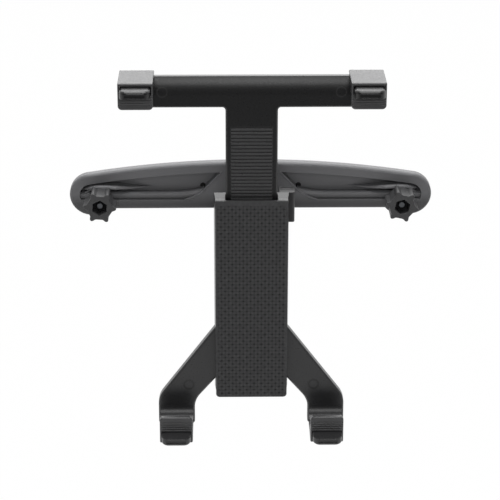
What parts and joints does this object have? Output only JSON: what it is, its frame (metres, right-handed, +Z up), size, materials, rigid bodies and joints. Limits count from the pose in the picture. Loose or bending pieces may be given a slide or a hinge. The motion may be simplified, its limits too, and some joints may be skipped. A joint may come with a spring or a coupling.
{
  "type": "headrest tablet mount",
  "caption": "Black moulded tablet holder with an extending T slide and splayed legs, on a crescent bracket that clamps across headrest posts with star knobs.",
  "frame": {"origin": "midway between the two headrest posts, at the height of the clamp bolts", "axes": "+X to the viewer's right, +Y away from the viewer towards the posts, +Z up along the posts"},
  "size_m": [0.204, 0.0894, 0.2124],
  "materials": {
    "black_abs": "moulded black ABS with a fine satin grain",
    "grip_weave": "moulded woven-look grip face",
    "claw_plastic": "satin black plastic, ribbed",
    "knob_plastic": "satin dark grey plastic",
    "rubber": "matt black rubber",
    "steel": "zinc-plated steel"
  },
  "bodies": {
    "bracket": {"bracket_shell": "black_abs", "bracket_pad_left": "rubber", "bracket_pad_right": "rubber", "spacer_left": "black_abs", "spacer_right": "black_abs", "tilt_bolt": "steel", "tilt_nut": "steel"},
    "tilt_head": {"tilt_knuckle": "black_abs", "swivel_retainer": "black_abs", "swivel_screw": "steel"},
    "cradle": {"grip_panel": "grip_weave", "cradle_front": "black_abs", "cradle_back": "black_abs", "cover_screws": "steel", "lever_pin": "steel", "lever_spring": "steel"},
    "slide": {"slide_bar": "black_abs"},
    "lever": {"release_lever": "black_abs"},
    "clamp": {"clamp_bar": "black_abs", "clamp_pad_left": "rubber", "clamp_pad_right": "rubber", "clamp_bolt_left": "steel", "clamp_bolt_right": "steel"},
    "knob_left": {"knob_left": "knob_plastic", "knob_nut_left": "steel"},
    "claw_upper_left": {"claw_upper_left": "claw_plastic", "claw_pad_upper_left": "rubber"},
    "claw_lower_left": {"claw_lower_left": "claw_plastic", "claw_pad_lower_left": "rubber"},
    "knob_right": {"knob_right": "knob_plastic", "knob_nut_right": "steel"},
    "claw_upper_right": {"claw_upper_right": "claw_plastic", "claw_pad_upper_right": "rubber"},
    "claw_lower_right": {"claw_lower_right": "claw_plastic", "claw_pad_lower_right": "rubber"}
  },
  "joints": [
    {"name": "tilt", "type": "hinge", "parent": "bracket", "child": "tilt_head", "pos_m": [0, -0.024, -0.01], "axis": [1, 0, 0], "range_deg": [-15, 15]},
    {"name": "swivel", "type": "hinge", "parent": "tilt_head", "child": "cradle", "pos_m": [0, -0.0335, -0.01], "axis": [0, 1, 0], "continuous": true},
    {"name": "extend", "type": "slide", "parent": "cradle", "child": "slide", "axis": [0, 0, 1], "range_m": [-0.048, 0.024]},
    {"name": "release", "type": "hinge", "parent": "cradle", "child": "lever", "pos_m": [0.012, -0.0365, 0.005], "axis": [0, 0, 1], "range_deg": [-7, 0], "stiffness_Nm_per_rad": 0.05, "springref_deg": 2.86},
    {"name": "knob_left_turn", "type": "hinge", "parent": "bracket", "child": "knob_left", "pos_m": [-0.0843, -0.026, 0], "axis": [0, -1, 0], "range_deg": [0, 1800]},
    {"name": "knob_right_turn", "type": "hinge", "parent": "bracket", "child": "knob_right", "pos_m": [0.0843, -0.026, 0], "axis": [0, -1, 0], "range_deg": [0, 1800]},
    {"name": "clamp_open", "type": "slide", "parent": "bracket", "child": "clamp", "axis": [0, 1, 0], "range_m": [0, 0.0035]},
    {"name": "claw_upper_left_pull", "type": "slide", "parent": "slide", "child": "claw_upper_left", "axis": [0, -1, 0], "range_m": [0, 0.007]},
    {"name": "claw_upper_right_pull", "type": "slide", "parent": "slide", "child": "claw_upper_right", "axis": [0, -1, 0], "range_m": [0, 0.007]},
    {"name": "claw_lower_left_pull", "type": "slide", "parent": "cradle", "child": "claw_lower_left", "axis": [0, -1, 0], "range_m": [0, 0.007]},
    {"name": "claw_lower_right_pull", "type": "slide", "parent": "cradle", "child": "claw_lower_right", "axis": [0, -1, 0], "range_m": [0, 0.007]}
  ],
  "couplings": [
    {"joint": "knob_left_turn", "follows": "clamp_open", "rad_per_m": 8975.9},
    {"joint": "knob_right_turn", "follows": "clamp_open", "rad_per_m": 8975.9}
  ]
}
